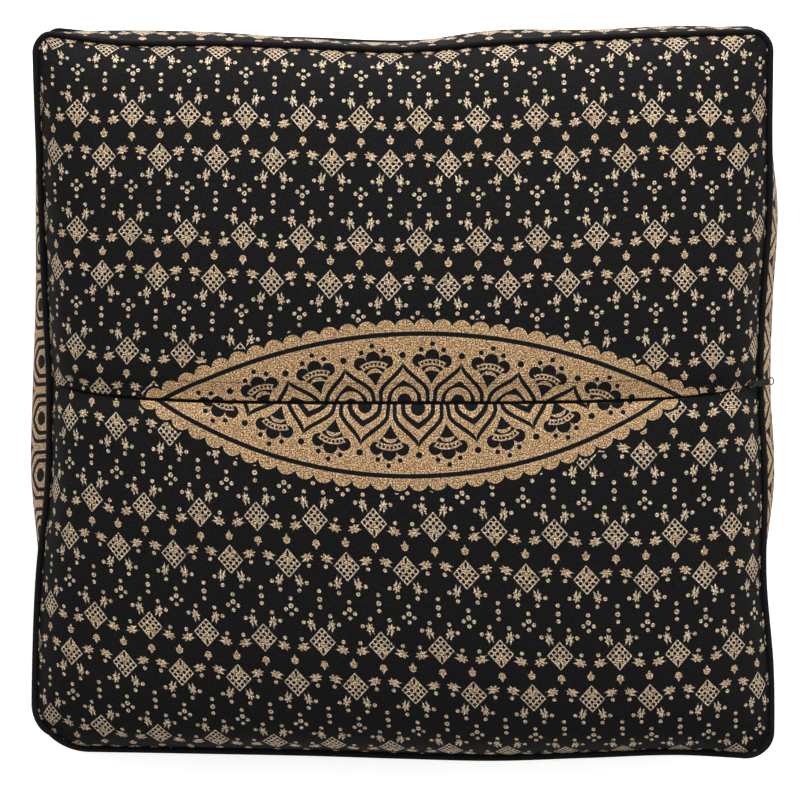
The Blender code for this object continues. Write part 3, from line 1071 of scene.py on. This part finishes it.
class CUSHION_OT_piping(bpy.types.Operator):
    """Build the two rings of piping in the seams"""

    bl_idname = "cushion.piping"
    bl_label = "Piping"

    def execute(self, context):
        bias = bias_cloth("bias_cloth")
        along = both_ways(crowded(150))
        square = [(v, -1.0) for v in along[:-1]] + [(1.0, v) for v in along[:-1]]
        square += [(-v, 1.0) for v in along[:-1]] + [(-1.0, -v) for v in along[:-1]]
        square.append(square[0])
        for name, seam, share in (("face_piping", face_seam, 1.0), ("base_piping", base_seam, BASE_PULL)):
            rows = []
            for s, t in square:
                centre, out = seam(s, t), -inward(s, t, share)
                ring = []
                for k in range(13):
                    turn = math.tau * k / 12
                    reach = PIPING_FLANGE if k == 6 else PIPING_RADIUS
                    ring.append(centre + (out * math.cos(turn) + Vector((0, 0, math.sin(turn)))) * reach)
                rows.append(ring)
            piece = cloth_mesh(name, [(rows, flat_cloth(rows), 0.0)], bias)
            weld = bmesh.new()
            weld.from_mesh(piece.data)
            bmesh.ops.remove_doubles(weld, verts=weld.verts, dist=1e-6)
            bmesh.ops.recalc_face_normals(weld, faces=weld.faces)
            weld.to_mesh(piece.data)
            weld.free()
            declare(piece, "piping_face" if share == 1.0 else "piping_base")
        return {"FINISHED"}


class CUSHION_OT_zip(bpy.types.Operator):
    """Finish the zip's slider and pull"""

    bl_idname = "cushion.zip"
    bl_label = "Zip slider and pull"

    def execute(self, context):
        metal = dark_metal("lacquered_zip_metal")
        for name in ("zip_slider", "zip_pull"):
            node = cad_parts[name]
            node.material_slots[0].material = metal
        return {"FINISHED"}


class CUSHION_OT_stage(bpy.types.Operator):
    """Set the floor, lights and camera"""

    bl_idname = "cushion.stage"
    bl_label = "Stage"

    def execute(self, context):
        scene = context.scene
        bpy.ops.mesh.primitive_plane_add(size=12, location=(0, 0, -0.001))
        floor = context.object
        floor.name = "floor"
        pale = bpy.data.materials.new("pale_floor")
        pale.use_nodes = True
        shader = pale.node_tree.nodes["Principled BSDF"]
        shader.inputs["Base Color"].default_value = hex_colour("#f4f4f4")
        shader.inputs["Roughness"].default_value = 0.9
        shader.inputs["Emission Color"].default_value = (1, 1, 1, 1)
        shader.inputs["Emission Strength"].default_value = 0.45
        floor.data.materials.append(pale)
        world = bpy.data.worlds.new("studio")
        world.use_nodes = True
        world.node_tree.nodes["Background"].inputs["Color"].default_value = (1, 1, 1, 1)
        world.node_tree.nodes["Background"].inputs["Strength"].default_value = 0.75
        scene.world = world
        for name, place, size, power in (
            ("top_light", (0.0, 2.8, 1.7), 2.2, 158.0),
            ("side_light", (2.4, 0.6, 2.6), 2.0, 34.0),
        ):
            lamp = bpy.data.lights.new(name, "AREA")
            lamp.size = size
            lamp.energy = power
            holder = bpy.data.objects.new(name, lamp)
            holder.location = place
            holder.rotation_euler = (-Vector(place)).to_track_quat("-Z", "Y").to_euler()
            context.collection.objects.link(holder)
        camera = bpy.data.cameras.new("camera")
        camera.sensor_width = SENSOR
        camera.lens = SENSOR * VIEW_DISTANCE / FRAME_WIDTH
        eye = bpy.data.objects.new("camera", camera)
        back = Vector((0, math.sin(VIEW_TILT), math.cos(VIEW_TILT)))
        up = Vector((0, math.cos(VIEW_TILT), -math.sin(VIEW_TILT)))
        turned = Matrix((up.cross(back), up, back)).transposed().to_4x4()
        eye.matrix_world = Matrix.Translation(VIEW_TARGET + back * VIEW_DISTANCE) @ turned
        context.collection.objects.link(eye)
        scene.camera = eye
        scene.view_settings.view_transform = "Standard"
        return {"FINISHED"}


class CUSHION_PT_panel(bpy.types.Panel):
    """The cover's sizes and pieces"""

    bl_label = "Floor cushion cover"
    bl_idname = "CUSHION_PT_panel"
    bl_space_type = "VIEW_3D"
    bl_region_type = "UI"
    bl_category = "Cushion"

    def draw(self, context):
        for name in CushionLook.__annotations__:
            self.layout.prop(context.scene.cushion_look, name)
        for piece in PIECES:
            self.layout.operator(piece.bl_idname)


PIECES = (CUSHION_OT_face, CUSHION_OT_band, CUSHION_OT_piping, CUSHION_OT_zip, CUSHION_OT_stage)
CLASSES = (CushionLook, *PIECES, CUSHION_PT_panel)


def register():
    for item in CLASSES:
        bpy.utils.register_class(item)
    bpy.types.Scene.cushion_look = bpy.props.PointerProperty(type=CushionLook)


def unregister():
    del bpy.types.Scene.cushion_look
    for item in reversed(CLASSES):
        bpy.utils.unregister_class(item)


def main():
    register()
    bpy.ops.cushion.face()
    bpy.ops.cushion.band()
    bpy.ops.cushion.piping()
    bpy.ops.cushion.zip()
    bpy.ops.cushion.stage()


if __name__ == "__main__":
    main()
